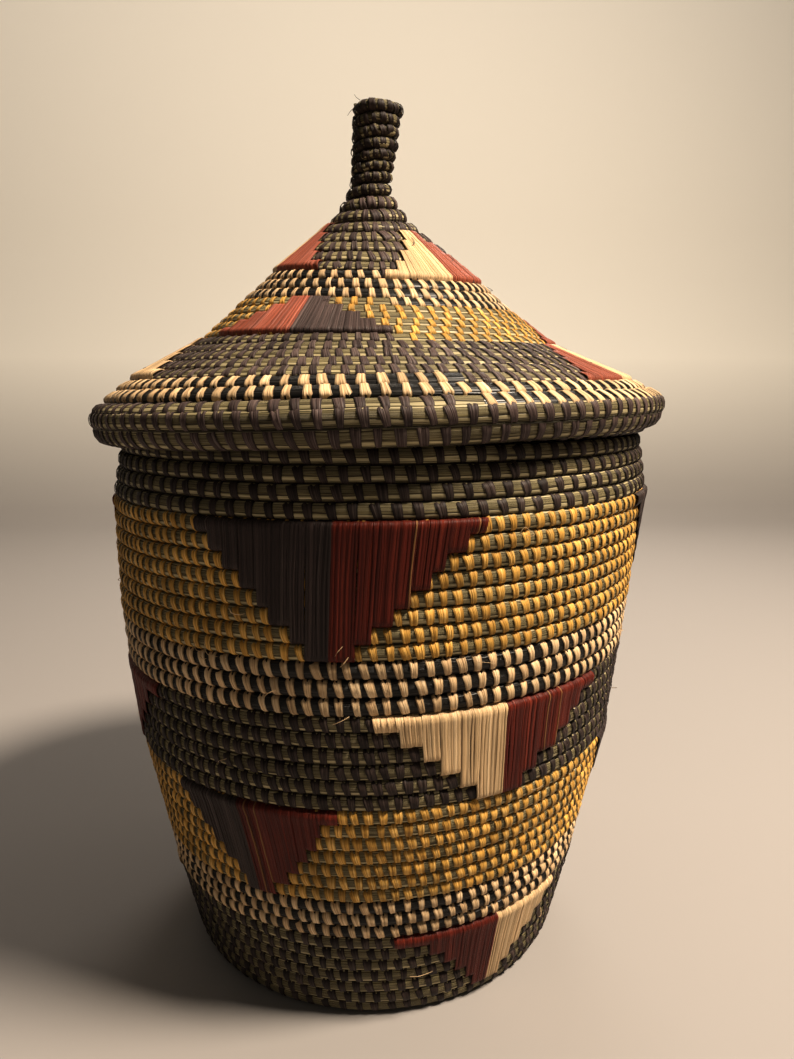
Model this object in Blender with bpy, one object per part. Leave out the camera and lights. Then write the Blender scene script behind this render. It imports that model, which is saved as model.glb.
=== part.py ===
"""Coiled basket with a stepped lid and a knob.

A bundle of grass stems is laid in rows and wrapped in dyed strips. Each colour band of rows is one
ring with a groove between rows. Stepped triangles of raffia are stitched over the dark and yellow
bands. The lid sits over the mouth, is centred by a collar inside it, and lifts straight up.
The origin is the middle of the base, on the floor.
"""

from collections import namedtuple
from math import cos, hypot, pi, radians, sin

import bmesh
import bpy

# Sizes in metres and angles in degrees. Angle 0 is the front, and positive angles go to the right.
GAP = 0.0003
WALL = 0.0085
GROOVE = 0.0016
SEGMENTS = 28
SMALL_SEGMENTS = 20

BASE_RADIUS = 0.1280
BASE_HEIGHT = 0.0087
BASE_TOP = 1.017

# Widths up the basket and lid, such as each band's top, are shares of the base radius.
Band = namedtuple("Band", "name rows rise top colour")
BODY_BANDS = (
    Band("foot_coils", 6, 0.0520, 1.111, "dark"),
    Band("lower_black_natural_coils", 3, 0.0261, 1.151, "natural"),
    Band("lower_yellow_coils", 7, 0.0615, 1.249, "yellow"),
    Band("middle_dark_coils", 6, 0.0550, 1.297, "dark"),
    Band("upper_black_natural_coils", 3, 0.0297, 1.320, "natural"),
    Band("upper_yellow_coils", 8, 0.0708, 1.349, "yellow"),
    Band("mouth_coils", 4, 0.0343, 1.305, "dark"),
)

RIM_DROP = 0.0021
RIM_BOTTOM = 1.381
RIM_ROWS = ((0.0089, 1.423), (0.0099, 1.450), (0.0049, 1.384))
RIM_CLEARANCE = 0.0020
SEAT_WIDTH = 0.0080
SEAT_THICKNESS = 0.0075

LID_BANDS = (
    Band("lid_lower_black_natural_coils", 2, 0.0109, 1.261, "natural"),
    Band("lid_dark_coils", 5, 0.0236, 0.893, "dark"),
    Band("lid_yellow_coils", 5, 0.0230, 0.688, "yellow"),
    Band("lid_upper_black_natural_coils", 3, 0.0181, 0.531, "natural"),
)
CROWN_SHOULDER = (0.0047, 0.494)
CROWN_CONE = (0.0265, 0.236)
CROWN_CONE_ROWS = 4
NECK_RISE = 0.0235
NECK_RADIUS = 0.0130
NECK_HOLLOW = 0.0026
NECK_ROWS = 3

KNOB_HEIGHT = 0.0508
KNOB_RADIUS = 0.0161
KNOB_ROWS = 8
CORE_RADIUS = 0.0050
CORE_DEPTH = 0.0100

COLLAR_CLEARANCE = 0.0018
COLLAR_WALL = 0.0080
COLLAR_DEPTH = 0.0166
COLLAR_ROWS = 2

PANEL_LIFT = 0.0006
PANEL_THICKNESS = 0.0011
PANEL_EDGE = 0.0006
PANEL_TIP = 3.5

# A panel's angles are those of the line where its two colours meet.
Panel = namedtuple("Panel", "name band colour angles left right")
BODY_PANELS = (
    Panel("upper_yellow_panel", "upper_yellow_coils", "red", (-7.5, 82.5, 172.5, 262.5), 24.7, 25.0),
    Panel("middle_dark_panel", "middle_dark_coils", "red", (24.5, 115.0, 203.0, 287.0), 24.5, 22.5),
    Panel("lower_yellow_panel", "lower_yellow_coils", "red", (-28.0, 77.0, 167.0, 253.0), 15.5, 21.4),
    Panel("foot_panel", "foot_coils", "red", (30.5, 120.0, 205.0, 292.5), 27.4, 20.0),
)
LID_PANELS = (
    Panel("lid_dark_panel", "lid_dark_coils", "red", (60.5, 177.0, 293.0), 17.0, 20.0),
    Panel("lid_yellow_panel", "lid_yellow_coils", "red", (-22.0, 90.0, 210.0), 26.0, 29.0),
    Panel("lid_crown_panel", "lid_crown_coils", "red", (45.0, 162.0, 296.0), 39.0, 39.0),
)

COLOURS = {
    "dark": (0.061, 0.045, 0.048, 1.0),
    "yellow": (0.578, 0.305, 0.032, 1.0),
    "natural": (0.752, 0.515, 0.262, 1.0),
    "red": (0.156, 0.026, 0.017, 1.0),
    "stems": (0.188, 0.171, 0.045, 1.0),
}
ROUGHNESS = 0.6


def clear_scene():
    for item in list(bpy.data.objects):
        bpy.data.objects.remove(item, do_unlink=True)


def material(node_name, colour):
    made = bpy.data.materials.new(node_name)
    made.use_nodes = True
    shader = made.node_tree.nodes["Principled BSDF"]
    shader.inputs["Base Color"].default_value = COLOURS[colour]
    shader.inputs["Roughness"].default_value = ROUGHNESS
    shader.inputs["Metallic"].default_value = 0.0
    return made


def finish(name, bm, colour, parent):
    """Turn a bmesh into a named object. Under the lid's empty it keeps its place in the world."""
    bmesh.ops.remove_doubles(bm, verts=bm.verts, dist=1e-6)
    bmesh.ops.recalc_face_normals(bm, faces=bm.faces)
    mesh = bpy.data.meshes.new(name)
    bm.to_mesh(mesh)
    bm.free()
    mesh.shade_smooth()
    mesh.set_sharp_from_angle(angle=radians(40))
    mesh.materials.append(material(name, colour))
    item = bpy.data.objects.new(name, mesh)
    bpy.context.collection.objects.link(item)
    if parent:
        item.parent = parent
        item.location = -parent.location
    return item


def turned(name, outline, colour, parent=None, steps=SEGMENTS, closed=True):
    """Spin an outline of (radius, height) points round the Z axis."""
    bm = bmesh.new()
    verts = [bm.verts.new((r, 0.0, z)) for r, z in outline]
    edges = [bm.edges.new(pair) for pair in zip(verts, verts[1:])]
    if closed:
        edges.append(bm.edges.new((verts[-1], verts[0])))
    bmesh.ops.spin(bm, geom=verts + edges, axis=(0, 0, 1), cent=(0, 0, 0), steps=steps, angle=2 * pi)
    return finish(name, bm, colour, parent)


def unit(a, b):
    """Direction from a to b in the (radius, height) plane."""
    length = hypot(b[0] - a[0], b[1] - a[1])
    return ((b[0] - a[0]) / length, (b[1] - a[1]) / length)


def moved(point, direction, distance):
    return (point[0] + direction[0] * distance, point[1] + direction[1] * distance)


def mixed(a, b, share):
    return (a[0] + (b[0] - a[0]) * share, a[1] + (b[1] - a[1]) * share)


def outward(direction):
    """Normal on the outer side of a line that runs upwards."""
    return (direction[1], -direction[0])


def joint_direction(before, point, after):
    """Mean direction at a point between two lines."""
    first = unit(before, point)
    second = unit(point, after)
    return unit((0.0, 0.0), (first[0] + second[0], first[1] + second[1]))


def level_beyond(near, edge):
    """Point past an edge that makes the band's face there level."""
    return (near[0], 2 * edge[1] - near[1])


def crests(start, end, rows):
    """Crest and groove points between two ends, without the ends."""
    normal = outward(unit(start, end))
    points = []
    for row in range(rows):
        points.append(mixed(start, end, (row + 0.5) / rows))
        if row < rows - 1:
            points.append(moved(mixed(start, end, (row + 1) / rows), normal, -GROOVE))
    return points


def band_outline(before, start, end, after, rows, wall):
    """Closed section of one band. Its end faces keep half the gap to the next band's."""
    low = joint_direction(before, start, end)
    high = joint_direction(start, end, after)
    low_groove = moved(moved(start, outward(low), -GROOVE), low, GAP / 2)
    high_groove = moved(moved(end, outward(high), -GROOVE), high, -GAP / 2)
    high_inner = moved(moved(end, outward(high), -wall), high, -GAP / 2)
    low_inner = moved(moved(start, outward(low), -wall), low, GAP / 2)
    return [low_groove] + crests(start, end, rows) + [high_groove, high_inner, low_inner]


def above(point, rise, width):
    """Point higher up, at a width given as a share of the base radius."""
    return (width * BASE_RADIUS, point[1] + rise)


def climb(start, bands):
    """Ends of each band, from the start point up."""
    points = [start]
    for band in bands:
        points.append(above(points[-1], band.rise, band.top))
    return points


BODY_POINTS = climb((BASE_TOP * BASE_RADIUS, BASE_HEIGHT), BODY_BANDS)
MOUTH_RADIUS, MOUTH_HEIGHT = BODY_POINTS[-1]
SEAT_HEIGHT = MOUTH_HEIGHT + GAP / 2


def rim_points():
    points = [above(BODY_POINTS[-1], -RIM_DROP, RIM_BOTTOM)]
    for rise, width in RIM_ROWS:
        points.append(above(points[-1], rise, width))
    return points


RIM_POINTS = rim_points()
LID_POINTS = climb(RIM_POINTS[-1], LID_BANDS)
CROWN_START = LID_POINTS[-1]
SHOULDER = above(CROWN_START, *CROWN_SHOULDER)
CROWN_END = above(SHOULDER, *CROWN_CONE)
NECK_END = (NECK_RADIUS, CROWN_END[1] + NECK_RISE)
KNOB_TOP = (KNOB_RADIUS, NECK_END[1] + KNOB_HEIGHT)


def make_base():
    edge = (BASE_RADIUS + GROOVE, BASE_HEIGHT / 2)
    top = BASE_HEIGHT - GAP / 2
    rim = (BODY_POINTS[0][0] - GROOVE, top)
    outline = [(0.0, 0.0), (BASE_RADIUS, 0.0), edge, rim, (0.0, top)]
    turned("base_coil", outline, "dark", closed=False)


def make_body():
    points = BODY_POINTS
    for index, band in enumerate(BODY_BANDS):
        start = points[index]
        end = points[index + 1]
        before = points[index - 1] if index else level_beyond(end, start)
        after = points[index + 2] if index + 2 < len(points) else level_beyond(start, end)
        outline = band_outline(before, start, end, after, band.rows, WALL)
        turned(band.name, outline, band.colour)


def make_rim(lid):
    """Three rows that hang over the mouth, and the seat row that rests on it."""
    outline = [RIM_POINTS[0]]
    for start, end in zip(RIM_POINTS, RIM_POINTS[1:]):
        outline += crests(start, end, 1)
        outline.append(moved(end, outward(unit(start, end)), -GROOVE))
    upward = joint_direction(RIM_POINTS[-2], RIM_POINTS[-1], LID_POINTS[1])
    outline[-1] = moved(moved(RIM_POINTS[-1], outward(upward), -GROOVE), upward, -GAP / 2)
    bore = MOUTH_RADIUS + RIM_CLEARANCE
    seat = bore - SEAT_WIDTH
    outline += [
        moved(moved(RIM_POINTS[-1], outward(upward), -WALL), upward, -GAP / 2),
        (seat, SEAT_HEIGHT + SEAT_THICKNESS),
        (seat, SEAT_HEIGHT),
        (bore, SEAT_HEIGHT),
        (bore, RIM_POINTS[0][1]),
    ]
    turned("lid_rim_coils", outline, "dark", lid)


def make_lid_bands(lid):
    points = LID_POINTS
    for index, band in enumerate(LID_BANDS):
        before = points[index - 1] if index else RIM_POINTS[-2]
        after = points[index + 2] if index + 2 < len(points) else SHOULDER
        outline = band_outline(before, points[index], points[index + 1], after, band.rows, WALL)
        turned(band.name, outline, band.colour, lid)


def make_crown(lid):
    low = joint_direction(LID_POINTS[-2], CROWN_START, SHOULDER)
    high = joint_direction(SHOULDER, CROWN_END, neck_curve(1 / NECK_ROWS))
    outline = [moved(moved(CROWN_START, outward(low), -GROOVE), low, GAP / 2)]
    outline += crests(CROWN_START, SHOULDER, 1) + [SHOULDER]
    outline += crests(SHOULDER, CROWN_END, CROWN_CONE_ROWS)
    outline += [
        moved(moved(CROWN_END, outward(high), -GROOVE), high, -GAP / 2),
        moved(moved(CROWN_END, outward(high), -WALL), high, -GAP / 2),
        moved(moved(CROWN_START, outward(low), -WALL), low, GAP / 2),
    ]
    turned("lid_crown_coils", outline, "dark", lid, SMALL_SEGMENTS)


def neck_curve(share):
    """Curve from the crown to the knob, bent towards the axis."""
    middle = mixed(CROWN_END, NECK_END, 0.5)
    control = (middle[0] - NECK_HOLLOW, middle[1])
    return mixed(mixed(CROWN_END, control, share), mixed(control, NECK_END, share), share)


def make_neck(lid):
    low = joint_direction(SHOULDER, CROWN_END, neck_curve(1 / NECK_ROWS))
    outline = [moved(moved(CROWN_END, outward(low), -GROOVE), low, GAP / 2)]
    for row in range(NECK_ROWS):
        outline.append(neck_curve((row + 0.5) / NECK_ROWS))
        if row < NECK_ROWS - 1:
            here = neck_curve((row + 1) / NECK_ROWS)
            slope = unit(neck_curve(row / NECK_ROWS), here)
            outline.append(moved(here, outward(slope), -GROOVE))
    top = NECK_END[1] - GAP / 2
    bore = CORE_RADIUS + GAP
    outline += [
        (NECK_RADIUS - GROOVE, top),
        (bore, top),
        (bore, top - CORE_DEPTH),
        moved(moved(CROWN_END, outward(low), -WALL), low, GAP / 2),
    ]
    turned("lid_neck_coils", outline, "dark", lid, SMALL_SEGMENTS)


def make_knob(lid):
    bottom = NECK_END[1] + GAP / 2
    bore = CORE_RADIUS + GAP
    outline = [(NECK_RADIUS - GROOVE, bottom)]
    outline += crests(NECK_END, KNOB_TOP, KNOB_ROWS)
    outline += [(KNOB_RADIUS - GROOVE, KNOB_TOP[1]), (bore, KNOB_TOP[1]), (bore, bottom)]
    turned("lid_knob_coil", outline, "dark", lid, SMALL_SEGMENTS)
    foot = NECK_END[1] - CORE_DEPTH
    core = [(0.0, foot), (CORE_RADIUS, foot), (CORE_RADIUS, KNOB_TOP[1]), (0.0, KNOB_TOP[1])]
    turned("lid_knob_core", core, "stems", lid, SMALL_SEGMENTS, closed=False)


def make_collar(lid):
    """Rows that hang inside the mouth and centre the lid, under one that meets the seat row."""
    outer = MOUTH_RADIUS - WALL - COLLAR_CLEARANCE
    inner = outer - COLLAR_WALL
    seat = MOUTH_RADIUS + RIM_CLEARANCE - SEAT_WIDTH - GAP
    foot = SEAT_HEIGHT - COLLAR_DEPTH
    outline = [(outer - GROOVE, foot)]
    outline += crests((outer, foot), (outer, SEAT_HEIGHT), COLLAR_ROWS)
    top = SEAT_HEIGHT + SEAT_THICKNESS
    outline += [(outer, SEAT_HEIGHT), (seat, SEAT_HEIGHT + GAP), (seat, top), (inner, top), (inner, foot)]
    turned("lid_collar_coils", outline, "dark", lid)


def panel_columns(panel, rows, centre):
    """Column edges from left to right, and the rows that each column covers."""
    def half(width):
        return [width - (width - PANEL_TIP) * row / (rows - 1) for row in range(rows)]

    left = [centre - step for step in half(panel.left)]
    right = [centre + step for step in reversed(half(panel.right))]
    depths = list(range(1, rows + 1)) + list(range(rows, 0, -1))
    return left + [centre] + right, depths


def make_panel(name, panel, centre, wide, tip, rows, parent):
    """Curved shell with one step at each row, from the wide end down to the tip."""
    along = unit(wide, tip)
    normal = outward(along)
    if normal[0] < 0:
        normal = (-normal[0], -normal[1])
    start = moved(wide, along, PANEL_EDGE)
    end = moved(tip, along, -PANEL_EDGE)
    angles, depths = panel_columns(panel, rows, centre)
    bm = bmesh.new()
    made = {}

    def vert(column, depth, layer):
        key = (column, depth, layer)
        if key not in made:
            lift = PANEL_LIFT + PANEL_THICKNESS * layer
            radius, height = moved(mixed(start, end, depth / rows), normal, lift)
            turn = radians(angles[column])
            made[key] = bm.verts.new((radius * sin(turn), -radius * cos(turn), height))
        return made[key]

    for column, depth in enumerate(depths):
        loop = [(column, 0)]
        if column and depths[column - 1] < depth:
            loop.append((column, depths[column - 1]))
        loop += [(column, depth), (column + 1, depth)]
        if column + 1 < len(depths) and depths[column + 1] < depth:
            loop.append((column + 1, depths[column + 1]))
        loop.append((column + 1, 0))
        bm.faces.new([vert(*corner, 1) for corner in loop])
        bm.faces.new([vert(*corner, 0) for corner in reversed(loop)])
    partner = {made[key]: made[key[:2] + (0,)] for key in list(made) if key[2] == 1}
    rim = [edge for edge in bm.edges if edge.is_boundary and edge.verts[0] in partner]
    for edge in rim:
        first, second = edge.verts
        bm.faces.new((first, second, partner[second], partner[first]))
    finish(name, bm, panel.colour, parent)


def make_panels(panels, ends, rows, parent=None):
    for panel in panels:
        wide, tip = ends[panel.band]
        for number, centre in enumerate(panel.angles, 1):
            name = f"{panel.name}_{number}"
            make_panel(name, panel, centre, wide, tip, rows[panel.band], parent)


def main():
    clear_scene()
    lid = bpy.data.objects.new("lid", None)
    lid.location = (0.0, 0.0, SEAT_HEIGHT)
    bpy.context.collection.objects.link(lid)
    make_base()
    make_body()
    make_rim(lid)
    make_lid_bands(lid)
    make_crown(lid)
    make_neck(lid)
    make_knob(lid)
    make_collar(lid)
    rows = {band.name: band.rows for band in BODY_BANDS + LID_BANDS}
    rows["lid_crown_coils"] = CROWN_CONE_ROWS
    body_ends = {b.name: (BODY_POINTS[i + 1], BODY_POINTS[i]) for i, b in enumerate(BODY_BANDS)}
    lid_ends = {b.name: (LID_POINTS[i], LID_POINTS[i + 1]) for i, b in enumerate(LID_BANDS)}
    lid_ends["lid_crown_coils"] = (SHOULDER, CROWN_END)
    make_panels(BODY_PANELS, body_ends, rows)
    make_panels(LID_PANELS, lid_ends, rows, lid)


main()
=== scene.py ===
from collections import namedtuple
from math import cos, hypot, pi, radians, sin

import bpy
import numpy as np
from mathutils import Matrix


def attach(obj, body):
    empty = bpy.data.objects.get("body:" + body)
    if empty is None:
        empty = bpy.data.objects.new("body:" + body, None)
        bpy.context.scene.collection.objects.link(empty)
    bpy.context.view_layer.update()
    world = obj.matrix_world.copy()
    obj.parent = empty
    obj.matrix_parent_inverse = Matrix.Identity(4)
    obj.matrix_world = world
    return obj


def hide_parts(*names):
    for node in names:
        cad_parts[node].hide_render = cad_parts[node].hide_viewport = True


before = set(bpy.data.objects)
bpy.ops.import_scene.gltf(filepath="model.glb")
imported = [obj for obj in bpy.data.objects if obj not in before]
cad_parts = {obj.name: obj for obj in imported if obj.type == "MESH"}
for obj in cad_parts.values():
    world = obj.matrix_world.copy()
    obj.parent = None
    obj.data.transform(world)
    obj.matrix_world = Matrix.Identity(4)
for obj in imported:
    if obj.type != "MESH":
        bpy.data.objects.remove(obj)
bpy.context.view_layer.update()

# Looks of a lidded coiled basket. One long bundle of grass stems is laid in a spiral and wrapped in
# dyed raffia, each wrap stitched into the row below, and stepped triangles of raffia strands lie
# over the rows. Sizes are in metres and angles in degrees. Angle 0 is the front, and positive angles
# go to the right.

WALL = 0.0085
BASE_RADIUS = 0.1280
BASE_HEIGHT = 0.0087
BASE_TOP = 1.017
BASE_ROWS = 15
FOOT_LIFT = 0.0008
FOOT_WIDTH = 0.992

Band = namedtuple("Band", "name rows rise top")
BODY_BANDS = (
    Band("foot_coils", 6, 0.0520, 1.111),
    Band("lower_black_natural_coils", 3, 0.0261, 1.151),
    Band("lower_yellow_coils", 7, 0.0615, 1.249),
    Band("middle_dark_coils", 6, 0.0550, 1.297),
    Band("upper_black_natural_coils", 3, 0.0297, 1.320),
    Band("upper_yellow_coils", 8, 0.0708, 1.349),
    Band("mouth_coils", 4, 0.0343, 1.305),
)
RIM_DROP = 0.0021
RIM_BOTTOM = 1.381
RIM_ROWS = ((0.0089, 1.423), (0.0099, 1.450), (0.0049, 1.384))
RIM_WALLS = (0.0088, 0.0092, 0.0062)
# Where the edges of the thicker rows at the rim lie, counted in rows of the plain profile.
THICK_RIM_EDGES = (1.2, 2.35, 3.5)
RIM_CLEARANCE = 0.0020
SEAT_WIDTH = 0.0080
SEAT_THICKNESS = 0.0075
SEAT_LIFT = 0.0002
SEAT_OVERLAP = 0.0012
LID_BANDS = (
    Band("lid_lower_black_natural_coils", 2, 0.0109, 1.261),
    Band("lid_dark_coils", 5, 0.0236, 0.893),
    Band("lid_yellow_coils", 5, 0.0230, 0.688),
    Band("lid_upper_black_natural_coils", 3, 0.0181, 0.531),
)
CROWN_SHOULDER = (0.0047, 0.494)
CROWN_CONE = (0.0265, 0.236)
CROWN_CONE_ROWS = 4
NECK_RISE = 0.0235
NECK_RADIUS = 0.0130
NECK_HOLLOW = 0.0026
NECK_ROWS = 3
KNOB_HEIGHT = 0.0508
KNOB_RADIUS = 0.0161
KNOB_ROWS = 8
COLLAR_CLEARANCE = 0.0018
COLLAR_WALL = 0.0080
COLLAR_DEPTH = 0.0166
COLLAR_ROWS = 2
GAP = 0.0003

# Angle where the coil starts, and so where a row turns into the next one. A colour of the lid
# starts at its own angle.
BODY_SEAM = 231.5
LID_SEAM = 247.0
COLOUR_SEAMS = {
    "lid_lower_black_natural_coils": 15.0,
    "lid_dark_coils": 14.0,
    "lid_yellow_coils": 8.0,
    "lid_upper_black_natural_coils": 5.0,
    "lid_crown_coils": 3.5,
}
# Share of a turn in which a row climbs over the end of the one below, and the number of rows over
# which a coil takes up its climb.
SEAM_CLIMB = 0.10
CLIMB_ROWS = 4.0
# How far the rows wander, and how far those of the less even bands do.
EVEN = 0.0003
UNEVEN = {"lid_knob_coil": 0.0009, "lid_neck_coils": 0.0006, "lid_crown_coils": 0.0005}
# Power that makes a row's section squarer than an ellipse, whose power is 1.
ROUNDNESS = {"body": 0.74, "rim": 0.92, "lid": 0.54}

# How the handmade basket strays from a true round at some heights: a shift to the right, a slope
# of the rows up to the right, and a sag of the front.
Stray = namedtuple("Stray", "height shift slope sag")
BODY_STRAY = (
    Stray(0.0, 0.0, 0.0, 0.0),
    Stray(0.012, 0.0002, 0.0, 0.0),
    Stray(0.080, 0.0006, 0.0122, 0.0),
    Stray(0.235, 0.0016, 0.0122, 0.0),
    Stray(0.275, 0.0034, 0.0075, 0.0),
    Stray(0.305, 0.0055, 0.0040, 0.0),
    Stray(0.338, 0.0058, 0.0060, 0.0),
)
LID_STRAY = (
    Stray(0.333, 0.0040, 0.0340, 0.0),
    Stray(0.347, 0.0040, 0.0310, 0.0),
    Stray(0.354, 0.0040, 0.0250, 0.0),
    Stray(0.362, 0.0038, 0.0140, 0.0),
    Stray(0.394, 0.0028, -0.0080, 0.0025),
    Stray(0.417, 0.0022, -0.0240, 0.0050),
    Stray(0.437, 0.0018, -0.0300, 0.0050),
    Stray(0.4665, -0.0006, -0.0120, 0.0022),
    Stray(0.490, -0.0013, 0.0, 0.0),
    Stray(0.541, 0.0045, 0.0, 0.0),
)

# How each band is stitched: colour of the wraps, spacing and width along the row, and the ground
# that shows between them.
Stitching = namedtuple("Stitching", "colour spacing width ground")
STITCHING = {
    "base_coil": Stitching("dark", 0.0100, 0.0052, "stems"),
    "base_edge_coil": Stitching("dark", 0.0098, 0.0046, "stems"),
    "foot_coils": Stitching("dark", 0.0086, 0.0048, "stems"),
    "lower_black_natural_coils": Stitching("natural", 0.0078, 0.0048, "black"),
    "lower_yellow_coils": Stitching("yellow", 0.0072, 0.0052, "stems"),
    "middle_dark_coils": Stitching("dark", 0.0080, 0.0052, "stems"),
    "upper_black_natural_coils": Stitching("natural", 0.0082, 0.0049, "black"),
    "upper_yellow_coils": Stitching("yellow", 0.0075, 0.0049, "stems"),
    "mouth_coils": Stitching("dark", 0.0105, 0.0055, "stems"),
    # The lid's dark wraps use a paler copy of the dark dye, which paints on the light and sheen that the lid
    # catches.
    "lid_rim_coils": Stitching("faded dark", 0.0100, 0.0053, "stems"),
    "lid_lower_black_natural_coils": Stitching("natural", 0.0092, 0.0054, "black"),
    "lid_dark_coils": Stitching("faded dark", 0.0078, 0.0046, "stems"),
    "lid_yellow_coils": Stitching("yellow", 0.0088, 0.0040, "stems"),
    "lid_upper_black_natural_coils": Stitching("natural", 0.0078, 0.0044, "black"),
    "lid_crown_coils": Stitching("faded dark", 0.0066, 0.0045, "stems"),
    "lid_neck_coils": Stitching("faded dark", 0.0062, 0.0046, "stems"),
    "lid_knob_coil": Stitching("dark", 0.0060, 0.0048, "stems"),
    "lid_collar_coils": Stitching("dark", 0.0110, 0.0060, "stems"),
    "lid_seat_coils": Stitching("dark", 0.0110, 0.0060, "stems"),
}

# A panel's angles are those of the line where its two colours meet at the wide end, and lean is how
# far that line moves to the right at the tip. Left and right are its half widths at each row, from
# the wide end, all in degrees.
Panel = namedtuple("Panel", "name band angles lean left right left_colour right_colour")
BODY_PANELS = (
    Panel(
        "upper_yellow_panel", "upper_yellow_coils", (-8.3, 82.5, 172.5, 262.5), 0.0,
        (24.8, 21.9, 19.0, 15.9, 12.5, 10.2, 6.3, 4.0), (24.9, 21.8, 18.7, 16.6, 13.2, 10.5, 7.1, 4.5),
        "grey", "red",
    ),
    Panel(
        "middle_dark_panel", "middle_dark_coils", (24.0, 115.0, 203.0, 287.0), 0.9,
        (25.0, 20.6, 16.2, 13.2, 9.3, 5.8), (23.8, 19.4, 16.6, 12.7, 8.0, 4.2),
        "natural", "red",
    ),
    Panel(
        "lower_yellow_panel", "lower_yellow_coils", (-28.7, 76.0, 166.0, 252.0), 2.3,
        (16.1, 14.0, 11.7, 9.2, 6.6, 4.3, 2.6), (21.1, 17.5, 16.1, 13.6, 10.8, 8.2, 4.2),
        "grey", "red",
    ),
    Panel(
        "foot_panel", "foot_coils", (29.9, 116.0, 196.0, 270.0), 0.4,
        (26.0, 17.5, 13.8, 10.3, 6.9, 4.3), (21.4, 17.7, 14.1, 10.6, 7.3, 4.5),
        "red", "natural",
    ),
)
LID_PANELS = (
    Panel(
        "lid_dark_panel", "lid_dark_coils", (57.0, 175.0, 288.0), 0.0,
        (15.5, 13.4, 11.0, 8.0, 4.4), (20.0, 16.6, 12.8, 9.0, 4.8),
        "red", "natural",
    ),
    Panel(
        "lid_yellow_panel", "lid_yellow_coils", (-24.7, 90.0, 210.0), 0.0,
        (30.6, 25.7, 20.1, 14.1, 8.2), (28.7, 24.5, 19.7, 13.6, 7.5),
        "red", "grey",
    ),
    Panel(
        "lid_crown_panel", "lid_crown_coils", (40.6, 162.0, 291.5), 0.0,
        (36.3, 30.2, 23.8, 17.1, 12.0), (36.5, 30.2, 26.0, 19.0, 9.0),
        "natural", "red",
    ),
)
# Strands of another colour that lie over a half panel, at these degrees from its colour line.
ODD_STRANDS = {
    "upper_yellow_panel_1_red": (13.2, 23.4),
    "middle_dark_panel_1_red": (9.6, 12.6),
    "lower_yellow_panel_1_red": (2.0, 4.4),
    "middle_dark_panel_3_red": (5.0, 15.5),
    "lower_yellow_panel_3_red": (8.0,),
    "upper_yellow_panel_3_red": (6.4, 17.0),
    "foot_panel_3_red": (11.0,),
}
# Half width, half thickness and lift of a panel's strands, drawn between two values, then half
# width and lift of a strand of another colour.
STRAND_HALF = (0.0007, 0.0013)
STRAND_DEEP = (0.00038, 0.00060)
STRAND_LIFT = (0.0001, 0.0005)
ODD_HALF = 0.0005
ODD_LIFT = 0.0007
# How strands fan in towards the tip, how they differ at the tip in steps, in bend in degrees and in
# tilt in radians, how they narrow, and how far apart they lie as a share of their half width.
FAN = 0.09
TIP_SWAY = 0.3
BEND_SWAY = 0.35
TILT_SWAY = 0.2
STRAND_TAPER = (0.85, 1.0)
STRAND_STEP = (0.85, 1.3)
# Where a strand dives into the groove at each end, as shares of a row from that end, how far, and
# how it rolls over the first row and dips into each groove.
TUCK = (0.0, 0.08, 0.24)
TUCK_LIFTS = (-0.0036, -0.0010, 0.0003)
END_LIFTS = (-0.0001, -0.0013, -0.0034)
ROLL = 0.00035
DIP = 0.00006
# Steps along the stem bundles and the strips packed between the rows, half sizes of those strips,
# how far the stems lie inside the wraps, and half height from which a row has all of that.
STEM_STEP = 0.0075
PACKING_STEP = 0.011
PACKING_HALF = (0.0009, 0.0016)
SIDE_GAP = 0.00012
SUNK = 0.00055
UNEVEN_SUNK = 0.00035
FULL_HALF = 0.004
# Share of a step by which the wraps drift from row to row, shares of a turn without wraps at the
# start and the end of a band, and half height of the thinnest row that is wrapped.
DRIFT = 0.06
BARE_START = 0.003
BARE_END = 0.01
THINNEST = 0.0016
# Rings of cut stems in the knob, as radius and number, half size of a stem, how far the stems
# reach below the knob, how uneven their cut is, and how much lower each ring ends.
CORE_RINGS = ((0.0, 1), (0.0022, 6), (0.0044, 12), (0.0066, 18))
CORE_HALF = (0.00095, 0.0013)
CORE_DEPTH = 0.008
CORE_CUT = 0.0018
CORE_DOME = 0.0008
# Loose fibres: half width, height left free of the random ones below and above, step between their
# points, lift of each point, and how far some of them stand off, with their share.
FIBRE_HALF = (0.00016, 0.00028)
FIBRE_FREE = (0.01, 0.075)
FIBRE_STEP = (0.0020, 0.0045)
FIBRE_LIFTS = (0.0006, 0.0020, 0.0018, 0.0008)
FIBRE_RISE = (0.001, 0.006)
RISING_SHARE = 0.4
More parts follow.
